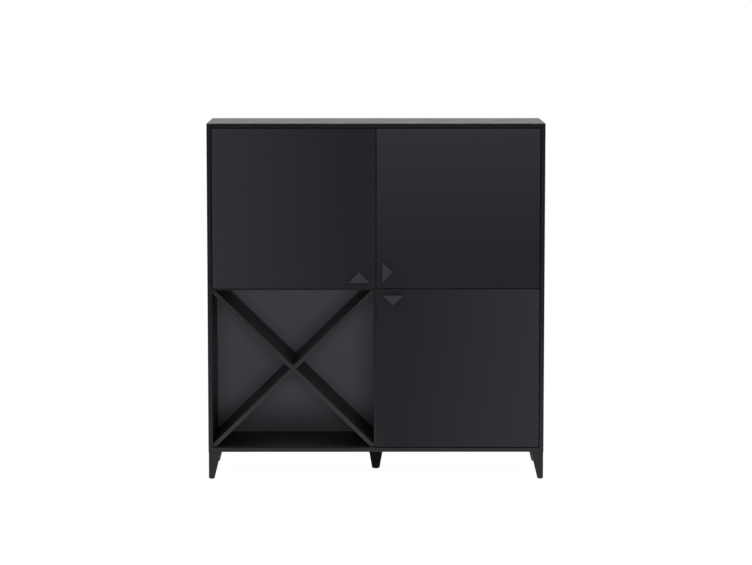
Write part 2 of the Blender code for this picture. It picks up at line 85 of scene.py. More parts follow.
# Least share of a direction along an axis for it to count as along that axis
ALIGNED = 0.98
QUARTER_TURN = math.pi / 2
HOLE_SIDES, HEAD_SIDES, ROUND_SIDES, GROOVE_SIDES, BORE_SIDES, CUP_SIDES = 20, 24, 32, 40, 48, 64
GRAIN_MAP = "Grain"
BAND_SLOT = 1
FRONT = (1, -1)
LEFT, RIGHT = (0, -1), (0, 1)
BELOW, ABOVE = (2, -1), (2, 1)

# Each door: the side of its hinges, and how many quarter turns its grain and pull have made
DOORS = {"upper_left": (-1, 0), "upper_right": (1, 1), "lower_right": (1, 2)}
LEGS = ("leg_front_left", "leg_front_right", "leg_back_left", "leg_back_right", "leg_middle")
CARCASS_BOARDS = {
    "top_panel": (FRONT, LEFT, RIGHT),
    "bottom_panel": (FRONT, LEFT, RIGHT),
    "left_side": (FRONT,),
    "right_side": (FRONT,),
    "middle_wall": (FRONT,),
    "fixed_shelf_left": (FRONT,),
    "fixed_shelf_right": (FRONT,),
}


def linear(code):
    """An sRGB hex colour as linear red, green and blue."""
    channels = [int(code[start : start + 2], 16) / 255 for start in (1, 3, 5)]
    return tuple(c / 12.92 if c <= 0.04045 else ((c + 0.055) / 1.055) ** 2.4 for c in channels)


def colour(code, description):
    """A colour setting whose default is an sRGB hex value."""
    return FloatVectorProperty(
        description=description, default=linear(code), subtype="COLOR", size=3, min=0, max=1
    )


def length(millimetres, description):
    """A length setting whose default is given in millimetres."""
    return FloatProperty(
        description=description, default=millimetres * MM, min=0, unit="LENGTH", precision=5
    )


def amount(value, description):
    """A setting that is a plain number."""
    return FloatProperty(description=description, default=value, min=0)


class BoardSettings(bpy.types.PropertyGroup):
    """Sizes and colours of the laminated boards."""

    face_colour: colour("#2B2A2C", "Melamine faces")
    band_colour: colour("#161517", "Edge bands")
    # A paler copy of the edge bands' black, for the crossed divider: painted light on its front edges
    divider_band_colour: colour("#232224", "Crossed divider's front edges")
    core_colour: colour("#6B5138", "Chipboard in drilled holes")
    back_colour: colour("#4F4C52", "Hardboard's printed side")
    back_raw_colour: colour("#4A3B30", "Hardboard's raw rear side")
    # Painted shade on the back panels: the height above the bottom panel over which their print is darkened,
    # and how bright it stays at the foot
    back_shade_height: length(170.0, "Height over which the back panels' print darkens")
    back_low: amount(0.38, "Brightness of the print at the fade's low end")
    edge_round: length(0.5, "Radius along every edge of a board")
    band_thick: length(1.0, "Thickness of the edge bands")
    glue_width: length(0.3, "Width of the line beside a band")
    glue_depth: length(0.12, "Depth of that line")
    cross_thick: length(16.0, "Thickness of the divider's boards")
    hole_depth: length(7.5, "Depth of the drilled holes for shelf pins")
    hole_pitch: length(32.0, "Height from one pin hole to the next")
    spare_holes: IntProperty(description="Pin holes above and below each shelf pin", default=2, min=0, max=5)
    cap_radius: length(8.5, "Radius of the caps over the cam fittings")
    cap_thick: length(0.8, "Height of a cap above its board")
    cap_from_end: length(34.0, "Distance of a cap from its board's end")
    cap_from_edge: length(60.0, "Distance of a cap from its board's front or back")


class DoorSettings(bpy.types.PropertyGroup):
    """Colours, painted sheen and grain of the door film."""

    # Painted sheen: between the fade's start and end the film is painted from the dark colour beside the pull
    # to the light colour at its far end
    dark_colour: colour("#1E1D22", "Film beside the pull")
    light_colour: colour("#2B2A2F", "Film at its far end")
    fade_start: length(110.0, "Where the film starts to lighten")
    fade_end: length(632.0, "Where the film is lightest")
    streak_wide: length(1.4, "Width of the film's fine streaks")
    streak_long: length(160.0, "Length of those streaks")


class PullSettings(bpy.types.PropertyGroup):
    """Sizes and colour of the triangular pulls and their screws."""

    lacquer_colour: colour("#313035", "Pulls")
    thick: length(18.0, "How far a pull's tall side stands off the door")
    tip_thick: length(4.0, "How far the tip stands off the door")
    edge_round: length(1.0, "Radius along the edges of a pull")
    groove_radius: length(5.5, "Radius of the groove in the tall side")
    groove_from_end: length(13.0, "Distance from its end to the pull's corner")
    head_tall: length(2.4, "Height of the screw's head")
    shank_radius: length(2.0, "Radius of the screw's shank")


class HingeSettings(bpy.types.PropertyGroup):
    """Sizes and colour of the concealed hinges."""

    nickel_colour: colour("#BDBAB3", "Hinges' nickel plating")
    cup_radius: length(17.5, "Outer radius of the cup")
    cup_depth: length(11.5, "Depth of the cup in the door")
    wall_thick: length(1.4, "Thickness of its wall and floor")
    flange_thick: length(1.2, "Thickness of the flange on the door")
    flange_wide: length(19.0, "Width of that flange")
    corner_round: length(4.0, "Radius of the corners of flanges and plates")
    arm_tall: length(13.0, "Height of the arm")
    arm_deep: length(9.0, "How far the arm stands off its plate")
    arm_round: length(1.5, "Radius along the edges of the arm")
    arm_from_door: length(6.0, "Distance of the arm from the closed door")
    bridge_deep: length(7.0, "Depth of the bridge from arm to nose")
    nose_wide: length(9.0, "Width of the nose in the cup")
    plate_thick: length(3.0, "Thickness of the mounting plate")
    plate_long: length(34.0, "Length of that plate")
    plate_from_door: length(20.0, "Distance of that plate from the closed door")
    screw_radius: length(3.4, "Radius of the screws' heads")
    screw_from_end: length(6.5, "Distance of a screw from its plate's end")
    screw_proud: length(0.5, "How far a head stands off its plate")


class SmallPieceSettings(bpy.types.PropertyGroup):
    """Sizes and colours of pins, bumpers and glides."""

    zinc_colour: colour("#B9BCC0", "Pins' and screws' zinc plating")
    plastic_colour: colour("#18181A", "Glides and cam caps")
    bumper_colour: colour("#D8D8D4", "Clear bumpers")
    pin_radius: length(2.5, "Radius of a shelf pin")
    pin_in: length(6.5, "Length of a shelf pin in its wall")
    collar_thick: length(1.0, "Thickness of the collar against the wall")


class LegSettings(bpy.types.PropertyGroup):
    """Sizes and colour of the legs."""

    lacquer_colour: colour("#18181A", "Legs")
    # The middle leg's black is darker than the corner legs': painted shade for the shade under the cabinet
    plastic_colour: colour("#0A0A0B", "Middle leg's plastic")
    foot_size: length(22.0, "Width of a corner leg at its foot")
    middle_foot_size: length(29.0, "Width of the middle leg at its foot")
    stud_tall: length(9.0, "Length of the stud above a leg's top")
    stud_radius: length(4.0, "Radius of that stud")
    edge_round: length(0.8, "Radius along the edges of a leg")


class StageSettings(bpy.types.PropertyGroup):
    """The camera, the lamps and the pale floor."""

    eye: FloatVectorProperty(description="Place of the camera", default=(-0.0313, -10.8032, 1.9316))
    pitch: amount(math.radians(6.266), "How far the camera looks down, in radians")
    yaw: amount(math.radians(0.169), "How far the camera turns right, in radians")
    lens: amount(132.46, "Focal length in mm on a 36 mm sensor")
    floor_light: amount(0.58, "Light that the floor sends up")
    room_light: amount(0.38, "Even light from all around")
    key_power: amount(225, "Power of the front lamp")
    top_power: amount(60, "Power of the top lamp")


SETTINGS = {
    "highboard_boards": BoardSettings,
    "highboard_doors": DoorSettings,
    "highboard_pulls": PullSettings,
    "highboard_hinges": HingeSettings,
    "highboard_small_pieces": SmallPieceSettings,
    "highboard_legs": LegSettings,
    "highboard_stage": StageSettings,
}


def select_only(piece):
    """Make one piece the only selected one, and the active one."""
    bpy.ops.object.select_all(action="DESELECT")
    piece.select_set(True)
    bpy.context.view_layer.objects.active = piece


@contextmanager
def edit_mode(piece):
    """Work on one piece in edit mode."""
    select_only(piece)
    bpy.ops.object.mode_set(mode="EDIT")
    yield
    bpy.ops.object.mode_set(mode="OBJECT")


def select_where(piece, kind, test):
    """In edit mode, select the corners, edges or faces that pass a test, and nothing else."""
    bpy.ops.mesh.select_mode(type=kind)
    bpy.ops.mesh.select_all(action="DESELECT")
    mesh = bmesh.from_edit_mesh(piece.data)
    for part in {"VERT": mesh.verts, "EDGE": mesh.edges, "FACE": mesh.faces}[kind]:
        if test(part):
            part.select_set(True)
    mesh.select_flush_mode()
    bmesh.update_edit_mesh(piece.data)


def begin(name, primitive, **options):
    """Add a primitive at its size and place, and keep its place in its mesh."""
    bpy.ops.object.select_all(action="DESELECT")
    primitive(**options)
    piece = bpy.context.object
    piece.name = name
    piece.data.name = name
    bpy.ops.object.transform_apply(location=True, rotation=True, scale=True)
    return piece


def add_block(name, low, high, turn=0.0):
    """A cube stretched between two opposite corners and turned about Y, ready to be shaped."""
    low, high = Vector(low), Vector(high)
    middle, size = (low + high) / 2, high - low
    add = bpy.ops.mesh.primitive_cube_add
    return begin(name, add, size=1, location=middle, scale=size, rotation=(0, turn, 0))


def add_round(name, radius, centre, axis, start, end, sides=ROUND_SIDES):
    """A cylinder about a line through a centre along one axis, between two levels, ready to be shaped."""
    first, last = Vector(centre), Vector(centre)
    first[axis], last[axis] = start, end
    run = last - first
    turn = run.to_track_quat("Z", "Y").to_euler()
    middle = (first + last) / 2
    add = bpy.ops.mesh.primitive_cylinder_add
    return begin(name, add, vertices=sides, radius=radius, depth=run.length, location=middle, rotation=turn)


def paint(piece, *materials):
    """Give a piece its materials, one slot each."""
    for material in materials:
        piece.data.materials.append(material)


def round_edges(piece, radius, segments=3, test=lambda edge: True):
    """Round the sharp edges of a piece that pass a test."""
    with edit_mode(piece):
        select_where(piece, "EDGE", lambda edge: edge.calc_face_angle(0) > SHARP_ANGLE and test(edge))
        bpy.ops.mesh.bevel(offset=radius, offset_type="OFFSET", segments=segments, affect="EDGES")


def along(axis):
    """A test for edges that run along one axis."""
    return lambda edge: abs((edge.verts[1].co - edge.verts[0].co).normalized()[axis]) > ALIGNED


def at_level(axis, level):
    """A test for edges that lie at one level of an axis."""
    return lambda edge: all(abs(corner.co[axis] - level) < NEAR for corner in edge.verts)


def unit(axis, sign=1):
    """The direction up or down one axis."""
    return Vector(sign if i == axis else 0 for i in range(3))


def slice_at(point, normal, **options):
    """In edit mode, cut through the whole mesh along a plane."""
    bpy.ops.mesh.select_all(action="SELECT")
    bpy.ops.mesh.bisect(plane_co=point, plane_no=normal, **options)


def combine(piece, tool, operation="DIFFERENCE"):
    """Cut a piece with a tool, or join the tool to it, and take the tool away."""
    modifier = piece.modifiers.new("Cut", "BOOLEAN")
    modifier.operation = operation
    modifier.solver = "EXACT"
    modifier.material_mode = "TRANSFER" if tool.data.materials else "INDEX"
    modifier.object = tool
    select_only(piece)
    bpy.ops.object.modifier_apply(modifier=modifier.name)
    bpy.data.objects.remove(tool, do_unlink=True)


def join(name, pieces):
    """Make several pieces one object."""
    select_only(pieces[0])
    for piece in pieces:
        piece.select_set(True)
    bpy.ops.object.join()
    joined = bpy.context.object
    joined.name = name
    joined.data.name = name
    return joined


def copy_of(master, name, move=(0, 0, 0), flip=(1, 1, 1), turn=0.0, pivot=(0, 0, 0)):
    """A copy with its own mesh, flipped about the origin, turned about Y at a pivot and then moved."""
    select_only(master)
    bpy.ops.object.duplicate()
    copy = bpy.context.object
    copy.name = name
    copy.data.name = name
    with edit_mode(copy):
        bpy.ops.mesh.select_all(action="SELECT")
        bpy.ops.transform.resize(value=flip, center_override=(0, 0, 0))
        if math.prod(flip) < 0:
            bpy.ops.mesh.normals_make_consistent(inside=False)
        bpy.ops.transform.rotate(value=-turn, orient_axis="Y", center_override=pivot)
        bpy.ops.transform.translate(value=move)
    return copy


def box_around(points):
    """Lowest and highest corner of the box around some points."""
    points = list(points)
    return [Vector(pick(point[i] for point in points) for i in range(3)) for pick in (min, max)]


def extent(piece):
    """Lowest and highest corner of a finished piece."""
    return box_around(corner.co for corner in piece.data.vertices)


def middle_of(node):
    """Middle of a node's box."""
    low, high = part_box(node)
    return (low + high) / 2


def repeat(master, master_node, node, name, flip=(1, 1, 1)):
    """A copy of the piece that stands for one node, flipped and moved to a like node's place."""
    corners = [Vector(c * sign for c, sign in zip(corner, flip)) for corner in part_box(master_node)]
    return copy_of(master, name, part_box(node)[0] - box_around(corners)[0], flip)


def for_each_door(master, node, name, flip=(1, 1, 1)):
    """The upper left door's piece, and a copy of it for each of the two other doors."""
    pieces = {"upper_left": master}
    for door in ("upper_right", "lower_right"):
        pieces[door] = repeat(master, f"upper_left_{node}", f"{door}_{node}", f"{door}_{name}", flip)
    return pieces


def finish(piece, body, slot, *nodes, spare=0.0):
    """Shade a piece evenly, check that it fits the nodes that it stands for, and hand it to their body."""
    select_only(piece)
    bpy.ops.object.shade_smooth_by_angle(angle=SMOOTH_ANGLE)
    modifier = piece.modifiers.new("Even shading", "WEIGHTED_NORMAL")
    modifier.keep_sharp = True
    bpy.ops.object.modifier_apply(modifier=modifier.name)
    low, high = extent(piece)
    room = [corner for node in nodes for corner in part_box(node)] or (FRAME_LOW, FRAME_HIGH)
    lowest, highest = box_around(room)
    for i in range(3):
        if low[i] < lowest[i] - spare - NEAR or high[i] > highest[i] + spare + NEAR:
            raise RuntimeError(f"{piece.name} leaves the space of {nodes} along axis {i}: {low} {high}")
    if nodes:
        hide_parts(*nodes)
    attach(piece, body)


MIX_A, MIX_B, MIX_RESULT = 6, 7, 2
# Nearly all of a noise pattern lies between these levels
NOISE_LOW, NOISE_HIGH = 0.3, 0.7
UPRIGHT = (1, 1, 30)
RAMP_ENDS = ("From Min", "From Max", "To Min", "To Max")


def add_node(tree, kind, inputs=None, **settings):
    """Add one node with its settings, its values and its links."""
    node = tree.nodes.new(kind)
    for name, value in settings.items():
        setattr(node, name, value)
    for name, value in (inputs or {}).items():
        if isinstance(value, bpy.types.NodeSocket):
            tree.links.new(value, node.inputs[name])
        else:
            node.inputs[name].default_value = value
    return node


def start_material(name, values):
    """A new material with values on its shader's own sockets."""
    material = bpy.data.materials.new(name)
    material.use_nodes = True
    tree = material.node_tree
    shader = tree.nodes["Principled BSDF"]
    for socket, value in values.items():
        shader.inputs[socket].default_value = value
    return material, tree, shader


def shade_of(rgb, factor=1.0):
    """A colour made lighter or darker, with full alpha."""
    return (*(min(1.0, channel * factor) for channel in rgb), 1.0)


def pattern(tree, millimetres, detail=2.0, stretch=(1, 1, 1)):
    """Noise on the piece's own coordinates, with cells of a real size that may be stretched."""
    place = add_node(tree, "ShaderNodeTexCoord").outputs["Object"]
    scale = Vector(1 / (millimetres * MM * factor) for factor in stretch)
    spot = add_node(tree, "ShaderNodeMapping", {"Vector": place, "Scale": scale})
    cells = {"Vector": spot.outputs["Vector"], "Scale": 1, "Detail": detail}
    return add_node(tree, "ShaderNodeTexNoise", cells).outputs["Fac"]


def dress(tree, shader, tone, dark, light, gloss, relief=None, relief_deep=0.05 * MM, strength=0.1):
    """Let one pattern steer a surface's colour and roughness, and another its relief."""
    shade = add_node(tree, "ShaderNodeMix", {"Factor": tone, MIX_A: dark, MIX_B: light}, data_type="RGBA")
    ends = dict(zip(RAMP_ENDS, (NOISE_LOW, NOISE_HIGH, *gloss)))
    rough = add_node(tree, "ShaderNodeMapRange", {"Value": tone, **ends})
    tree.links.new(shade.outputs[MIX_RESULT], shader.inputs["Base Color"])
    tree.links.new(rough.outputs["Result"], shader.inputs["Roughness"])
    if relief:
        skin = {"Height": relief, "Strength": strength, "Distance": relief_deep}
        bump = add_node(tree, "ShaderNodeBump", skin)
        tree.links.new(bump.outputs["Normal"], shader.inputs["Normal"])


SHINE = "Specular IOR Level"
# Each row: group and name of its colour, darkest and lightest shade as shares of it, range of roughness, its
# tone and relief patterns (size of a cell in millimetres, detail, stretch), and its shader's own values
COATS = {
    # Melamine-faced chipboard, pressed on a pearl plate: near-black satin faces with fine shallow pimples.
    # Real pimples are 0.4 mm wide. They are drawn 2 mm wide, so that they show at all.
    "black_pearl_melamine": (
        "boards", "face", (0.92, 1.08), (0.42, 0.48), (90, 3), (2,), {"IOR": 1.5, SHINE: 0.45}
    ),
    # ABS edge band, rolled on and trimmed: black, smoother than the faces, with faint cutter ripples
    "black_abs_edge_band": (
        "boards", "band", (0.94, 1.06), (0.25, 0.31), (140,), (3, 1), {"IOR": 1.53, SHINE: 0.45}
    ),
    # The same band, a little paler than the others in the photo, for the crossed divider: painted light on its
    # front edges
    "charcoal_abs_edge_band": (
        "boards", "divider_band", (0.94, 1.06), (0.25, 0.31), (140,), (3, 1), {"IOR": 1.53, SHINE: 0.45}
    ),
    # Chipboard core, pressed from chips: pale brown, matt and mottled, seen only inside drilled holes
    "raw_chipboard": (
        "boards", "core", (0.55, 1.35), (0.90, 0.96), (1.5, 3), (1.5, 3), {"IOR": 1.5, SHINE: 0.2}
    ),
    # Zinc casting under satin lacquer: dark grey with a very fine orange-peel skin
    "satin_lacquered_casting": (
        "pulls", "lacquer", (0.95, 1.05), (0.50, 0.56), (25,), (1.6,), {"IOR": 1.5, SHINE: 0.2}
    ),
    # Beech under satin black lacquer: the grain still shows as faint upright ripples
    "satin_lacquered_beech": (
        "legs", "lacquer", (0.9, 1.1), (0.38, 0.46), (1.2, 3, UPRIGHT), (1.2, 3, UPRIGHT),
        {"IOR": 1.5, SHINE: 0.5},
    ),
    # Moulded black polypropylene with a coarse eroded skin, dead matt; its near-black is painted shade, so
    # that the middle leg hardly shows under the cabinet
    "moulded_black_polypropylene": (
        "legs", "plastic", (0.9, 1.1), (0.70, 0.80), (1.2,), (1.2,), {"IOR": 1.49, SHINE: 0.12}
    ),
    # Nickel-plated sheet steel, pressed: warm, fairly bright metal with cloudy gloss
    "nickel_plated_steel": ("hinges", "nickel", (0.86, 1.08), (0.24, 0.34), (6, 4), None, {"Metallic": 1.0}),
    # Zinc-plated steel, turned: cool metal, a little duller than nickel
    "zinc_plated_steel": (
        "small_pieces", "zinc", (0.86, 1.08), (0.30, 0.42), (3, 4), None, {"Metallic": 1.0}
    ),
    # Moulded black polyethylene: matt and waxy, with a fine eroded skin, drawn coarser so that it shows
    "moulded_black_polyethylene": (
        "small_pieces", "plastic", (0.9, 1.1), (0.50, 0.62), (0.8,), (0.8,), {"IOR": 1.51, SHINE: 0.45}
    ),
    # Cast clear polyurethane: soft, milky and half clear
    "cast_clear_polyurethane": (
        "small_pieces", "bumper", (0.95, 1.05), (0.18, 0.30), (2,), None,
        {"IOR": 1.5, "Transmission Weight": 0.6},
    ),
}


def coat(name):
    """A material from its row: its tone pattern steers colour and roughness, its relief pattern the skin."""
    group, setting, shades, gloss, tone, relief, values = COATS[name]
    material, tree, shader = start_material(name, values)
    rgb = getattr(getattr(bpy.context.scene, f"highboard_{group}"), f"{setting}_colour")
    dark, light = (shade_of(rgb, share) for share in shades)
    tones = pattern(tree, *tone)
    skin = tones if relief == tone else relief and pattern(tree, *relief)
    dress(tree, shader, tones, dark, light, gloss, skin)
    return material


def door_film(name):
    """Brushed black film on a pressed door: blue-black satin, painted lighter along its grain as a painted
    sheen.

    The painted sheen and the streaks follow the door's own map, so they turn with the door. The real brushing
    is finer than 0.2 mm. Its streaks are drawn over a millimetre wide, so that they show at all.
    """
    material, tree, shader = start_material(name, {"IOR": 1.5, SHINE: 0.2, "Anisotropic": 0.5})
    doors = bpy.context.scene.highboard_doors
    spot = add_node(tree, "ShaderNodeUVMap", uv_map=GRAIN_MAP).outputs["UV"]
    parts = add_node(tree, "ShaderNodeSeparateXYZ", {"Vector": spot})
    # Painted sheen: how far along the grain the film has been painted lighter
    run = {"Value": parts.outputs["X"], "From Min": doors.fade_start, "From Max": doors.fade_end}
    fade = add_node(tree, "ShaderNodeMapRange", run).outputs["Result"]
    streak = {"Vector": spot, "Scale": (1 / doors.streak_long, 1 / doors.streak_wide, 1)}
    stretched = add_node(tree, "ShaderNodeMapping", streak).outputs["Vector"]
    noise = {"Vector": stretched, "Scale": 1, "Detail": 4, "Roughness": 0.6}
    streaks = add_node(tree, "ShaderNodeTexNoise", noise, noise_dimensions="2D").outputs["Fac"]
    # Each shade runs from the dark film near the pull to the lighter film far from it: the painted sheen
    shades = []
    for share in (0.92, 1.08):
        near, far = shade_of(doors.dark_colour, share), shade_of(doors.light_colour, share)
        mix = add_node(tree, "ShaderNodeMix", {"Factor": fade, MIX_A: near, MIX_B: far}, data_type="RGBA")
        shades.append(mix.outputs[MIX_RESULT])
    dress(tree, shader, streaks, *shades, (0.50, 0.58), streaks, strength=0.06)
    tangent = add_node(tree, "ShaderNodeTangent", direction_type="UV_MAP", uv_map=GRAIN_MAP)
    tree.links.new(tangent.outputs["Tangent"], shader.inputs["Tangent"])
    return material


def hardboard(name):
    """Printed hardboard, hot-pressed from fibres: charcoal print in front, raw brown fibre behind.

    Just above the bottom panel the print is darkened downwards: painted shade at the foot of the back panels.
    """
    material, tree, shader = start_material(name, {"IOR": 1.5, SHINE: 0.35})
    boards = bpy.context.scene.highboard_boards
    place = add_node(tree, "ShaderNodeTexCoord").outputs["Object"]
    parts = add_node(tree, "ShaderNodeSeparateXYZ", {"Vector": place})
    sides = {0: parts.outputs["Y"], 1: middle_of("back_panel_left").y}
    behind = add_node(tree, "ShaderNodeMath", sides, operation="GREATER_THAN").outputs["Value"]
    # Painted shade: over the given height above the bottom panel, the print is darkened downwards
    floor_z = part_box("bottom_panel")[1].z
    height = {"Value": parts.outputs["Z"], "From Min": floor_z, "From Max": floor_z + boards.back_shade_height}
    fade = add_node(tree, "ShaderNodeMapRange", height, interpolation_type="SMOOTHSTEP").outputs["Result"]
    shades = []
    for print_share, raw_share in ((0.97, 0.62), (1.03, 1.38)):
        print_in_painted_shade = shade_of(boards.back_colour, print_share * boards.back_low)
        front = {"Factor": fade, MIX_A: print_in_painted_shade, MIX_B: shade_of(boards.back_colour, print_share)}
        print_with_painted_shade = add_node(tree, "ShaderNodeMix", front, data_type="RGBA").outputs[MIX_RESULT]
        both = {"Factor": behind, MIX_A: print_with_painted_shade, MIX_B: shade_of(boards.back_raw_colour, raw_share)}
        shades.append(add_node(tree, "ShaderNodeMix", both, data_type="RGBA").outputs[MIX_RESULT])
    fibres = pattern(tree, 4, detail=5)
    dress(tree, shader, fibres, *shades, (0.58, 0.70), fibres, 0.08 * MM)
    return material


MAKERS = {"brushed_black_film": door_film, "printed_hardboard": hardboard}


def finish_of(name):
    """The material of one name, made the first time that a piece asks for it."""
    return bpy.data.materials.get(name) or MAKERS.get(name, coat)(name)


def set_off_band(piece, axis, sign, settings):
    """Part one edge band from its board with a fine glue line, and give it the band's finish."""
    low, high = extent(piece)
    edge = high[axis] if sign > 0 else low[axis]
    outer = edge - sign * settings.band_thick
    inner = outer - sign * settings.glue_width
    with edit_mode(piece):
        for level in (outer, inner, (outer + inner) / 2):
            slice_at(unit(axis) * level, unit(axis))
        bpy.ops.transform.shrink_fatten(value=-settings.glue_depth, use_even_offset=True)
        select_where(piece, "FACE", lambda face: sign * (face.calc_center_median()[axis] - outer) > 0)
        piece.active_material_index = BAND_SLOT
        bpy.ops.object.material_slot_assign()


def make_board(name, low, high, bands, face="black_pearl_melamine"):
    """A board between two corners, with rounded edges and the edge bands that it is given."""
    settings = bpy.context.scene.highboard_boards
    board = add_block(name, low, high)
    paint(board, finish_of(face), finish_of("black_abs_edge_band"), finish_of("raw_chipboard"))
    round_edges(board, settings.edge_round)
    for axis, sign in bands:
        set_off_band(board, axis, sign, settings)
    return board


def cut_all(board, tools):
    """Cut one board with several tools that lie clear of each other."""
    if tools:
        tool = join("cutter", tools)
        paint(tool, finish_of("raw_chipboard"))
        combine(board, tool)


def pin_hole_tools(node, wall_x, into, settings):
    """Cutters for the hole of one shelf pin and the spare holes above and below it."""
    radius = bpy.context.scene.highboard_small_pieces.pin_radius + SEAT_GAP
    mouth, bottom = wall_x - into * OVERRUN, wall_x + into * settings.hole_depth
    pin = middle_of(node)
    tools = []
    for step in range(-settings.spare_holes, settings.spare_holes + 1):
        place = (0, pin.y, pin.z + step * settings.hole_pitch)
        tools.append(add_round("pin_hole", radius, place, 0, mouth, bottom, HOLE_SIDES))
    return tools


def recess_tools(node, settings):
    """Every cutter that one carcass board needs: back panel grooves, pin holes and stud holes."""
    low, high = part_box(node)
    gap = Vector((SEAT_GAP, SEAT_GAP, SEAT_GAP))
    tools = []
    for side in ("left", "right"):
        if node in ("top_panel", "bottom_panel", "middle_wall", f"{side}_side"):
            panel_low, panel_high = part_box(f"back_panel_{side}")
            tools.append(add_block("groove", panel_low - gap, panel_high + gap))
    for door, (side, _) in DOORS.items():
        outer = "left_side" if side < 0 else "right_side"
        walls = {outer: ("outer", side), "middle_wall": ("inner", -side)}
        if node in walls:
            wall, into = walls[node]
            wall_x = high.x if into < 0 else low.x
            for row in ("front", "back"):
                tools += pin_hole_tools(f"{door}_shelf_pin_{wall}_{row}", wall_x, into, settings)
    if node == "bottom_panel":
        radius = bpy.context.scene.highboard_legs.stud_radius + SEAT_GAP
        for leg in LEGS:
            ends = (low.z - OVERRUN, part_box(leg)[1].z + SEAT_GAP)
            tools.append(add_round("stud_hole", radius, middle_of(leg), 2, *ends, HOLE_SIDES))
    return tools


class HIGHBOARD_OT_carcass(bpy.types.Operator):
    """Top, bottom, sides, middle wall, fixed shelves and back panels, banded, grooved and drilled"""

    bl_idname = "highboard.carcass"
    bl_label = "Carcass"

    def execute(self, context):
        settings = context.scene.highboard_boards
        for node, bands in CARCASS_BOARDS.items():
            board = make_board(f"{node}_board", *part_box(node), bands)
            cut_all(board, recess_tools(node, settings))
            finish(board, "carcass", "carcass_board", node)
        for node in ("back_panel_left", "back_panel_right"):
            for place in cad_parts[node].material_slots:
                place.material = finish_of("printed_hardboard")
        return {"FINISHED"}


# A cap's flat rim and the step inside it, as shares of its radius
CAP_RIM_SHARE, CAP_STEP_SHARE = 0.45, 0.08


class HIGHBOARD_OT_cam_caps(bpy.types.Operator):
    """Caps over the cam fittings, on the sides, the middle wall and under the fixed shelves"""

    bl_idname = "highboard.cam_caps"
    bl_label = "Cam caps"

    def execute(self, context):
        boards = context.scene.highboard_boards
        radius, thick, inset = boards.cap_radius, boards.cap_thick, boards.cap_from_end
        master = add_round("cam_cap", radius, (0, 0, 0), 0, 0, thick)
        round_edges(master, thick / 2, test=at_level(0, thick))
        with edit_mode(master):
            select_where(master, "FACE", lambda face: face.normal.x > ALIGNED)
            bpy.ops.mesh.inset(thickness=radius * CAP_RIM_SHARE)
            bpy.ops.mesh.inset(thickness=radius * CAP_STEP_SHARE, depth=-thick / 2)
        paint(master, finish_of("moulded_black_polyethylene"))
        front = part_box("left_side")[0].y + boards.cap_from_edge
        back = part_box("back_panel_left")[0].y - boards.cap_from_edge
        spots = []
        for node, side in (("left_side", 1), ("right_side", -1), ("middle_wall", -1)):
            low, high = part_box(node)
            x, turn = (high.x, 0.0) if side > 0 else (low.x, 2 * QUARTER_TURN)
            spots += [(x, z, turn) for z in (low.z + inset, high.z - inset)]
        for node in ("fixed_shelf_left", "fixed_shelf_right"):
            low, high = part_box(node)
            spots += [(x, low.z, QUARTER_TURN) for x in (low.x + inset, high.x - inset)]
        places = [((x, y, z), turn) for x, z, turn in spots for y in (front, back)]
        caps = [copy_of(master, "cam_cap", place, turn=turn) for place, turn in places]
        bpy.data.objects.remove(master, do_unlink=True)
        finish(join("cam_caps", caps), "carcass", "glide_plastic")
        return {"FINISHED"}


class HIGHBOARD_OT_divider(bpy.types.Operator):
    """The two boards from corner to corner of the open bay, halved into each other"""

    bl_idname = "highboard.divider"
    bl_label = "Crossed divider"

    def execute(self, context):
        boards = context.scene.highboard_boards
        thick = boards.cross_thick
        low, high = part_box("cross_board_rising")
        middle, size = (low + high) / 2, high - low
        slope = math.atan2(size.z, size.x)
        half = Vector((math.hypot(size.x, size.z), size.y / 2, thick / 2))
        notch_half = Vector((2 * thick, size.y / 4 + OVERRUN / 2, thick / 2 + SEAT_GAP))
        notch_off = size.y / 4 + OVERRUN / 2 - SEAT_GAP / 2
        for node, turn, side in (("cross_board_rising", -slope, -1), ("cross_board_falling", slope, 1)):
            board = add_block(f"{node}_panel", middle - half, middle + half, turn)
            with edit_mode(board):
                for axis, corner, sign in ((0, low, -1), (0, high, 1), (2, low, -1), (2, high, 1)):
                    slice_at(corner, unit(axis, sign), use_fill=True, clear_outer=True)
            names = ("black_pearl_melamine", "charcoal_abs_edge_band", "raw_chipboard")
            paint(board, *(finish_of(name) for name in names))
            round_edges(board, boards.edge_round)
            set_off_band(board, *FRONT, boards)
            place = middle + unit(1) * side * notch_off
            notch = add_block("notch", place - notch_half, place + notch_half, -turn)
            cut_all(board, [notch])
            finish(board, "carcass", "carcass_board", node)
        return {"FINISHED"}


def map_grain(door, quarter_turns, centre):
    """Give a door its grain map in metres: U runs away from the highboard's centre along the grain."""
    angle = quarter_turns * QUARTER_TURN
    with_grain = Vector((-math.cos(angle), 0, math.sin(angle)))
    across = Vector((math.sin(angle), 0, math.cos(angle)))
    for old in list(door.data.uv_layers):
        door.data.uv_layers.remove(old)
    grain = door.data.uv_layers.new(name=GRAIN_MAP)
    for loop in door.data.loops:
        spot = door.data.vertices[loop.vertex_index].co - centre
        grain.data[loop.index].uv = (spot.dot(with_grain), spot.dot(across))


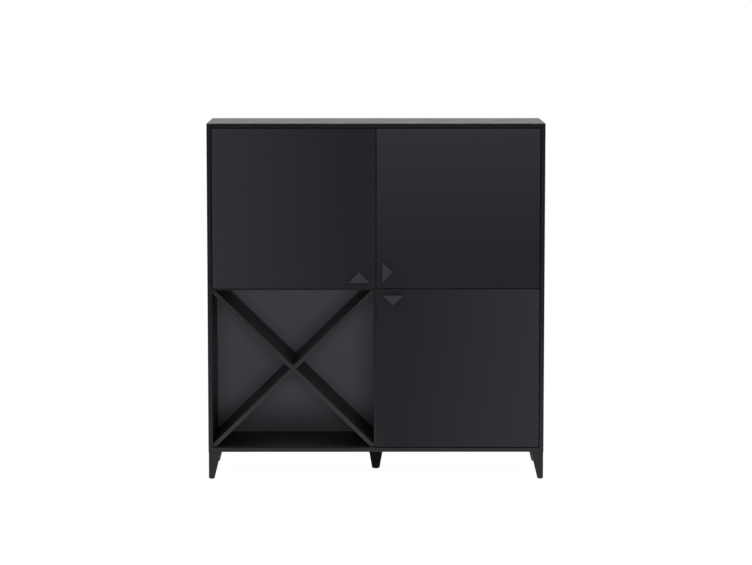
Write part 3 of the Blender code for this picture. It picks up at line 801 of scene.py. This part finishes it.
class HIGHBOARD_OT_doors(bpy.types.Operator):
    """The three doors, with bands on all sides, bores for their hinges and pulls, and their grain"""

    bl_idname = "highboard.doors"
    bl_label = "Doors"

    def execute(self, context):
        hinges = context.scene.highboard_hinges
        low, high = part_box("upper_left_door")
        bands = (LEFT, RIGHT, ABOVE, BELOW)
        master = make_board("upper_left_door_board", low, high, bands, "brushed_black_film")
        radius = hinges.cup_radius + SEAT_GAP
        cup_holes = []
        for end in ("low", "high"):
            cup_low, cup_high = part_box(f"upper_left_hinge_cup_{end}")
            place = (cup_low.x + hinges.cup_radius, 0, (cup_low.z + cup_high.z) / 2)
            start = cup_low.y - SEAT_GAP
            cup_holes.append(add_round("cup_hole", radius, place, 1, start, cup_high.y, BORE_SIDES))
        cut_all(master, cup_holes)
        centre = Vector((middle_of("middle_wall").x, 0, middle_of("fixed_shelf_left").z))
        radius = context.scene.highboard_pulls.shank_radius + SEAT_GAP
        for door, board in for_each_door(master, "door", "door_board", (-1, 1, 1)).items():
            screw = middle_of(f"{door}_handle_screw")
            hole = add_round("screw_hole", radius, screw, 1, low.y - OVERRUN, high.y + OVERRUN, HOLE_SIDES)
            cut_all(board, [hole])
            map_grain(board, DOORS[door][1], centre)
            finish(board, f"{door}_leaf", "door_board", f"{door}_door")
        return {"FINISHED"}


# The rounded rim of a screw's head as a share of its height, and its recess as shares of its radius
HEAD_RIM_SHARE, RECESS_LONG_SHARE, RECESS_THIN_SHARE = 0.4, 0.6, 0.12


def add_screw(name, radius, place, axis, seat, top):
    """A screw's head along one axis, between its seat and its top, with a rounded rim and a cross recess."""
    tall = abs(top - seat)
    head = add_round(name, radius, place, axis, seat, top, HEAD_SIDES)
    round_edges(head, tall * HEAD_RIM_SHARE, test=at_level(axis, top))
    middle = Vector(place)
    middle[axis] = top
    across = [i for i in range(3) if i != axis]
    for long, thin in (across, across[::-1]):
        half = unit(axis) * tall / 2
        half[long] = radius * RECESS_LONG_SHARE
        half[thin] = radius * RECESS_THIN_SHARE
        combine(head, add_block("recess", middle - half, middle + half))
    return head


# The rounding of the finger groove's ends as a share of its radius
GROOVE_END_SHARE = 0.9


class HIGHBOARD_OT_pulls(bpy.types.Operator):
    """The three triangular pulls, each turned by a quarter turn against the last, and their screws"""

    bl_idname = "highboard.pulls"
    bl_label = "Pulls"

    def execute(self, context):
        pulls = context.scene.highboard_pulls
        low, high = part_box("upper_left_handle")
        base, rise = high.x - low.x, high.z - low.z
        middle_x, middle_y = (low.x + high.x) / 2, low.y + pulls.thick / 2
        # A three-sided cylinder of radius 1 is the root of 3 wide and 1.5 tall
        shape = {"vertices": 3, "radius": 1, "depth": 1, "rotation": (QUARTER_TURN, 0, 0)}
        place = (middle_x, middle_y, low.z + rise / 3)
        scale = (base / math.sqrt(3), rise / 1.5, pulls.thick)
        add = bpy.ops.mesh.primitive_cylinder_add
        master = begin("upper_left_pull", add, location=place, scale=scale, **shape)
        with edit_mode(master):
            select_where(master, "VERT", lambda v: v.co.z > low.z + rise / 2 and v.co.y < middle_y)
            bpy.ops.transform.translate(value=(0, pulls.thick - pulls.tip_thick, 0))
        round_edges(master, pulls.edge_round, segments=4)
        radius, reach = pulls.groove_radius, base / 2 - pulls.groove_from_end
        ends = (middle_x - reach, middle_x + reach)
        groove = add_round("finger_groove", radius, (0, middle_y, low.z), 0, *ends, GROOVE_SIDES)
        round_edges(groove, radius * GROOVE_END_SHARE, segments=8)
        combine(master, groove)
        paint(master, finish_of("satin_lacquered_casting"))
        pivot = middle_of("upper_left_handle")
        made = {"upper_left": master}
        for door in ("upper_right", "lower_right"):
            move = middle_of(f"{door}_handle") - pivot
            turn = DOORS[door][1] * QUARTER_TURN
            made[door] = copy_of(master, f"{door}_pull", move, turn=turn, pivot=pivot)
        low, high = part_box("upper_left_handle_screw")
        place = middle_of("upper_left_handle_screw")
        seat_y = high.y - pulls.head_tall
        screw = add_screw("upper_left_pull_screw", (high.x - low.x) / 2, place, 1, seat_y, high.y)
        inside_y = seat_y + pulls.head_tall / 4
        combine(screw, add_round("shank", pulls.shank_radius, place, 1, low.y, inside_y, HOLE_SIDES), "UNION")
        paint(screw, finish_of("zinc_plated_steel"))
        screws = for_each_door(screw, "handle_screw", "pull_screw")
        for door, pull in made.items():
            finish(pull, f"{door}_leaf", "handle_lacquer", f"{door}_handle")
            finish(screws[door], f"{door}_leaf", "pin_steel", f"{door}_handle_screw")
        return {"FINISHED"}


def make_cup(node, name, hinges):
    """A hinge cup let into the door, with its flange and its two screws."""
    low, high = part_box(node)
    top_y = high.y
    seat_y = top_y - hinges.flange_thick
    bottom_y = seat_y - hinges.cup_depth
    place = (low.x + hinges.cup_radius, 0, (low.z + high.z) / 2)
    cup = add_round(name, hinges.cup_radius, place, 1, bottom_y, top_y, CUP_SIDES)
    round_edges(cup, hinges.wall_thick, test=at_level(1, bottom_y))
    flange_half = Vector((hinges.flange_wide / 2, hinges.flange_thick / 2, (high.z - low.z) / 2))
    flange_middle = Vector((place[0] + hinges.wall_thick, (seat_y + top_y) / 2, place[2]))
    flange = add_block("flange", flange_middle - flange_half, flange_middle + flange_half)
    round_edges(flange, hinges.corner_round, segments=6, test=along(1))
    combine(cup, flange, "UNION")
    inner = hinges.cup_radius - hinges.wall_thick
    floor_y = bottom_y + hinges.wall_thick
    hollow = add_round("hollow", inner, place, 1, floor_y, top_y + OVERRUN, CUP_SIDES)
    round_edges(hollow, hinges.wall_thick, test=at_level(1, floor_y))
    combine(cup, hollow)
    round_edges(cup, hinges.flange_thick / 4, segments=2, test=at_level(1, top_y))
    ends = (top_y - hinges.screw_proud, top_y + hinges.screw_proud)
    screws = []
    for z in (low.z + hinges.screw_from_end, high.z - hinges.screw_from_end):
        screws.append(add_screw("screw", hinges.screw_radius, (flange_middle.x, 0, z), 1, *ends))
    return join(name, [cup, *screws])


# The slot's ends and the front screw's place as shares of an arm's length, and the size of an arm's screws
# as a share of a cup's
SLOT_START_SHARE, SLOT_END_SHARE, FRONT_SCREW_SHARE, ARM_SCREW_SHARE = 0.42, 0.12, 0.35, 0.9
# The rounding of the slot's ends as a share of half the arm's height
SLOT_ROUND_SHARE = 0.49


def make_arm(node, name, hinges):
    """A hinge arm on the left side panel: its mounting plate, its body, its nose and its screws."""
    low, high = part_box(node)
    z, half_tall = (low.z + high.z) / 2, hinges.arm_tall / 2
    door_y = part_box("upper_left_door")[1].y
    near_y = door_y + hinges.arm_from_door
    bridge_y = near_y + hinges.bridge_deep
    tail = high.y - bridge_y
    crest_x = low.x + hinges.plate_thick + hinges.arm_deep
    nose_x = high.x - hinges.nose_wide
    arm = add_block(name, (low.x, near_y, z - half_tall), (high.x, bridge_y, z + half_tall))
    with edit_mode(arm):
        for x in (crest_x, nose_x):
            slice_at((x, 0, 0), unit(0))
        for test, run in (
            (lambda f: f.normal.y > ALIGNED and f.calc_center_median().x < crest_x, tail),
            (lambda f: f.normal.y < -ALIGNED and f.calc_center_median().x > nose_x, low.y - near_y),
        ):
            select_where(arm, "FACE", test)
            bpy.ops.mesh.extrude_region_move(TRANSFORM_OT_translate={"value": (0, run, 0)})
    round_edges(arm, hinges.arm_round, segments=4)
    slot_low = (crest_x - hinges.arm_deep / 3, high.y - SLOT_START_SHARE * tail, z - half_tall / 2)
    slot_high = (crest_x + OVERRUN, high.y - SLOT_END_SHARE * tail, z + half_tall / 2)
    slot = add_block("slot", slot_low, slot_high)
    round_edges(slot, half_tall * SLOT_ROUND_SHARE, segments=6, test=along(0))
    combine(arm, slot)
    plate_low = (low.x, door_y + hinges.plate_from_door, low.z)
    plate_high = (low.x + hinges.plate_thick, plate_low[1] + hinges.plate_long, high.z)
    plate = add_block("plate", plate_low, plate_high)
    round_edges(plate, hinges.corner_round, segments=6, test=along(0))
    round_edges(plate, hinges.plate_thick / 4, segments=2, test=at_level(0, plate_high[0]))
    combine(arm, plate, "UNION")
    plate_y = (plate_low[1] + plate_high[1]) / 2
    radius = hinges.screw_radius * ARM_SCREW_SHARE
    screws = []
    for x, y, screw_z in (
        (plate_high[0], plate_y, low.z + hinges.screw_from_end),
        (plate_high[0], plate_y, high.z - hinges.screw_from_end),
        (slot_low[0], (slot_low[1] + slot_high[1]) / 2, z),
        (crest_x, near_y + FRONT_SCREW_SHARE * (high.y - near_y), z),
    ):
        ends = (x - hinges.screw_proud, x + hinges.screw_proud)
        screws.append(add_screw("screw", radius, (x, y, screw_z), 0, *ends))
    return join(name, [arm, *screws])


class HIGHBOARD_OT_hinges(bpy.types.Operator):
    """Two concealed hinges a door: the cup in the door and the arm on the side panel"""

    bl_idname = "highboard.hinges"
    bl_label = "Hinges"

    def execute(self, context):
        hinges = context.scene.highboard_hinges
        for kind, make in (("cup", make_cup), ("arm", make_arm)):
            master_node = f"upper_left_hinge_{kind}_low"
            master = make(master_node, f"hinge_{kind}_master", hinges)
            paint(master, finish_of("nickel_plated_steel"))
            for door, (side, _) in DOORS.items():
                body = f"{door}_leaf" if kind == "cup" else "carcass"
                for end in ("low", "high"):
                    node = f"{door}_hinge_{kind}_{end}"
                    piece = repeat(master, master_node, node, f"{node}_steel", (-side, 1, 1))
                    finish(piece, body, "hinge_steel", node, spare=hinges.screw_proud)
            bpy.data.objects.remove(master, do_unlink=True)
        return {"FINISHED"}


# The rounding of a pin's and a bumper's ends as shares of their radius, and of a glide's rim, of its height
PIN_END_SHARE, BUMPER_END_SHARE, GLIDE_RIM_SHARE = 0.4, 0.5, 0.4


class HIGHBOARD_OT_shelves(bpy.types.Operator):
    """The loose shelf behind each door, and the four pins that carry it"""

    bl_idname = "highboard.shelves"
    bl_label = "Shelves and pins"

    def execute(self, context):
        small = context.scene.highboard_small_pieces
        shelf = make_board("upper_left_shelf_board", *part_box("upper_left_shelf"), (FRONT,))
        shelves = for_each_door(shelf, "shelf", "shelf_board")
        master_node = "upper_left_shelf_pin_outer_front"
        low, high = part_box(master_node)
        place = middle_of(master_node)
        pin = add_round("pin_master", small.pin_radius, place, 0, low.x, high.x, HEAD_SIDES)
        round_edges(pin, small.pin_radius * PIN_END_SHARE)
        wall_x = low.x + small.pin_in + SEAT_GAP
        ends = (wall_x, wall_x + small.collar_thick)
        collar = add_round("collar", (high.z - low.z) / 2, place, 0, *ends, HEAD_SIDES)
        round_edges(collar, small.collar_thick / 4, segments=2)
        combine(pin, collar, "UNION")
        paint(pin, finish_of("zinc_plated_steel"))
        for door, (side, _) in DOORS.items():
            finish(shelves[door], "carcass", "carcass_board", f"{door}_shelf")
            for wall, into in (("outer", side), ("inner", -side)):
                for row in ("front", "back"):
                    node = f"{door}_shelf_pin_{wall}_{row}"
                    copy = repeat(pin, master_node, node, f"{node}_steel", (-into, 1, 1))
                    finish(copy, "carcass", "pin_steel", node)
        bpy.data.objects.remove(pin, do_unlink=True)
        return {"FINISHED"}


class HIGHBOARD_OT_bumpers(bpy.types.Operator):
    """The clear bumper between each closed door and the middle wall"""

    bl_idname = "highboard.bumpers"
    bl_label = "Bumpers"

    def execute(self, context):
        low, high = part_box("upper_left_bumper")
        radius = (high.x - low.x) / 2
        place = middle_of("upper_left_bumper")
        master = add_round("upper_left_bumper_dome", radius, place, 1, high.y, low.y)
        round_edges(master, radius * BUMPER_END_SHARE, segments=6, test=at_level(1, low.y))
        paint(master, finish_of("cast_clear_polyurethane"))
        for door, dome in for_each_door(master, "bumper", "bumper_dome").items():
            finish(dome, "carcass", "clear_bumper", f"{door}_bumper")
        return {"FINISHED"}


def make_leg(node, foot_size, fixed, face, legs):
    """A leg that tapers to its foot about a fixed upright line, with its stud."""
    low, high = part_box(node)
    top_z = high.z - legs.stud_tall
    share = foot_size / (high.x - low.x)
    leg = add_block(f"{node}_post", low, (high.x, high.y, top_z))
    with edit_mode(leg):
        select_where(leg, "VERT", lambda corner: corner.co.z < (low.z + top_z) / 2)
        bpy.ops.transform.resize(value=(share, share, 1), center_override=(fixed.x, fixed.y, low.z))
    round_edges(leg, legs.edge_round, segments=4)
    start = top_z - OVERRUN
    stud = add_round("stud", legs.stud_radius, middle_of(node), 2, start, high.z, HOLE_SIDES)
    combine(leg, stud, "UNION")
    paint(leg, finish_of(face))
    return leg


class HIGHBOARD_OT_legs(bpy.types.Operator):
    """Four corner legs that taper towards the outer corners, the middle leg, and a glide under each"""

    bl_idname = "highboard.legs"
    bl_label = "Legs and glides"

    def execute(self, context):
        legs = context.scene.highboard_legs
        master_node = "leg_front_left"
        master = make_leg(master_node, legs.foot_size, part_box(master_node)[0], "satin_lacquered_beech", legs)
        centre = middle_of("leg_middle")
        # The middle leg gets the darker plastic: painted shade under the cabinet
        size, face = legs.middle_foot_size, "moulded_black_polypropylene"
        posts = {master_node: master, "leg_middle": make_leg("leg_middle", size, centre, face, legs)}
        for node, flip in (
            ("leg_front_right", (-1, 1, 1)),
            ("leg_back_left", (1, -1, 1)),
            ("leg_back_right", (-1, -1, 1)),
        ):
            posts[node] = repeat(master, master_node, node, f"{node}_post", flip)
        master_glide = master_node.replace("leg", "glide")
        low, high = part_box(master_glide)
        radius = (high.x - low.x) / 2
        glide = add_round("glide_master", radius, middle_of(master_glide), 2, high.z, low.z)
        round_edges(glide, GLIDE_RIM_SHARE * (high.z - low.z), segments=4, test=at_level(2, low.z))
        paint(glide, finish_of("moulded_black_polyethylene"))
        for node, post in posts.items():
            finish(post, "carcass", "leg_lacquer", node)
            glide_node = node.replace("leg", "glide")
            disc = repeat(glide, master_glide, glide_node, f"{glide_node}_disc")
            finish(disc, "carcass", "glide_plastic", glide_node)
        bpy.data.objects.remove(glide, do_unlink=True)
        return {"FINISHED"}


STAGE_SIZE = 80.0
# Place of each lamp, and the width and height of its face
KEY_LAMP = ((0, -6.5, 0.85), 3.0, 1.2)
TOP_LAMP = ((0, -0.8, 4.2), 3.0, 3.0)
# What the camera sees of the floor: an even glow, and a grey that takes the object's shadow
FLOOR_GLOW, FLOOR_GREY = 0.975, 0.10
WHITE = (1, 1, 1, 1)
# The light that the object mirrors: where along Y it starts and ends to grow, and its strength at both ends
FLOOR_RAMP, ROOM_RAMP = (-5.0, -1.2, 0.08, 0.72), (-0.8, 0.3, 0.08, 1.0)


def light_for_object(tree, kind, rays, place, even, ramp):
    """An even light for the object, and in its place one that grows along Y where the object mirrors it."""
    parts = add_node(tree, "ShaderNodeSeparateXYZ", {"Vector": place})
    ends = dict(zip(RAMP_ENDS, ramp))
    growing = add_node(tree, "ShaderNodeMapRange", {"Value": parts.outputs["Y"], **ends}).outputs["Result"]
    choice = {0: rays["Is Glossy Ray"]}
    for socket, level in ((1, even), (2, growing)):
        choice[socket] = add_node(tree, kind, {"Color": WHITE, "Strength": level}).outputs[0]
    return add_node(tree, "ShaderNodeMixShader", choice).outputs[0]


def pale_floor(stage):
    """Pale studio floor: white to the camera with the object's soft shadow, and bright near the object."""
    material = bpy.data.materials.new("pale_studio_floor")
    material.use_nodes = True
    tree = material.node_tree
    tree.nodes.clear()
    rays = add_node(tree, "ShaderNodeLightPath").outputs
    place = add_node(tree, "ShaderNodeTexCoord").outputs["Object"]
    lit = light_for_object(tree, "ShaderNodeEmission", rays, place, stage.floor_light, FLOOR_RAMP)
    grey = add_node(tree, "ShaderNodeBsdfDiffuse", {"Color": shade_of([FLOOR_GREY] * 3)}).outputs[0]
    glow = add_node(tree, "ShaderNodeEmission", {"Strength": FLOOR_GLOW}).outputs[0]
    seen = add_node(tree, "ShaderNodeAddShader", {0: grey, 1: glow}).outputs[0]
    final = add_node(tree, "ShaderNodeMixShader", {0: rays["Is Camera Ray"], 1: lit, 2: seen})
    add_node(tree, "ShaderNodeOutputMaterial", {"Surface": final.outputs[0]})
    return material


def light_room(scene, stage):
    """A room that is white behind the object, dim behind the camera, and evenly lit for the object."""
    world = bpy.data.worlds.new("studio_room")
    scene.world = world
    world.use_nodes = True
    tree = world.node_tree
    tree.nodes.clear()
    rays = add_node(tree, "ShaderNodeLightPath").outputs
    place = add_node(tree, "ShaderNodeTexCoord").outputs["Generated"]
    lit = light_for_object(tree, "ShaderNodeBackground", rays, place, stage.room_light, ROOM_RAMP)
    white = add_node(tree, "ShaderNodeBackground", {"Color": WHITE, "Strength": 1.0}).outputs[0]
    clear = {0: rays["Is Camera Ray"], 1: rays["Is Transmission Ray"]}
    seen = add_node(tree, "ShaderNodeMath", clear, operation="MAXIMUM").outputs[0]
    final = add_node(tree, "ShaderNodeMixShader", {0: seen, 1: lit, 2: white})
    add_node(tree, "ShaderNodeOutputWorld", {"Surface": final.outputs[0]})


def add_lamp(name, place, wide, tall, target, power):
    """A large soft lamp that looks at a point."""
    data = bpy.data.lights.new(name, "AREA")
    data.shape = "RECTANGLE"
    data.size = wide
    data.size_y = tall
    data.energy = power
    lamp = bpy.data.objects.new(name, data)
    bpy.context.scene.collection.objects.link(lamp)
    lamp.location = place
    lamp.rotation_euler = (Vector(target) - Vector(place)).to_track_quat("-Z", "Y").to_euler()
    lamp.visible_glossy = False


class HIGHBOARD_OT_stage(bpy.types.Operator):
    """The pale floor, the room's light, two soft lamps and the camera"""

    bl_idname = "highboard.stage"
    bl_label = "Stage"

    def execute(self, context):
        stage = context.scene.highboard_stage
        floor = begin("studio_floor", bpy.ops.mesh.primitive_plane_add, size=STAGE_SIZE)
        paint(floor, pale_floor(stage))
        light_room(context.scene, stage)
        middle = (FRAME_LOW + FRAME_HIGH) / 2
        add_lamp("key_lamp", *KEY_LAMP, middle, stage.key_power)
        add_lamp("top_lamp", *TOP_LAMP, middle, stage.top_power)
        data = bpy.data.cameras.new("camera")
        data.lens = stage.lens
        data.clip_end = 2 * STAGE_SIZE
        camera = bpy.data.objects.new("camera", data)
        context.scene.collection.objects.link(camera)
        camera.location = stage.eye
        camera.rotation_euler = (QUARTER_TURN - stage.pitch, 0, -stage.yaw)
        context.scene.camera = camera
        context.scene.view_settings.view_transform = "Standard"
        return {"FINISHED"}


OPERATORS = (
    HIGHBOARD_OT_stage,
    HIGHBOARD_OT_carcass,
    HIGHBOARD_OT_cam_caps,
    HIGHBOARD_OT_divider,
    HIGHBOARD_OT_doors,
    HIGHBOARD_OT_pulls,
    HIGHBOARD_OT_hinges,
    HIGHBOARD_OT_shelves,
    HIGHBOARD_OT_bumpers,
    HIGHBOARD_OT_legs,
)


class HIGHBOARD_PT_panel(bpy.types.Panel):
    """Settings and steps of the highboard"""

    bl_idname = "HIGHBOARD_PT_panel"
    bl_label = "Highboard"
    bl_space_type = "VIEW_3D"
    bl_region_type = "UI"
    bl_category = "Highboard"

    def draw(self, context):
        for group, kind in SETTINGS.items():
            box = self.layout.box()
            box.label(text=group.replace("_", " ").capitalize())
            for name in kind.__annotations__:
                label = name.replace("_", " ").capitalize()
                box.prop(getattr(context.scene, group), name, text=label)
        for operator in OPERATORS:
            self.layout.operator(operator.bl_idname)


CLASSES = (*SETTINGS.values(), *OPERATORS, HIGHBOARD_PT_panel)


def register():
    """Make the settings, steps and panel known to Blender."""
    for entry in CLASSES:
        bpy.utils.register_class(entry)
    for name, kind in SETTINGS.items():
        setattr(bpy.types.Scene, name, PointerProperty(type=kind))


def unregister():
    """Take the settings, steps and panel back out of Blender."""
    for name in SETTINGS:
        delattr(bpy.types.Scene, name)
    for entry in reversed(CLASSES):
        bpy.utils.unregister_class(entry)


def main():
    """Dress the whole highboard."""
    register()
    for operator in OPERATORS:
        group, name = operator.bl_idname.split(".")
        getattr(getattr(bpy.ops, group), name)()


if __name__ == "__main__":
    main()
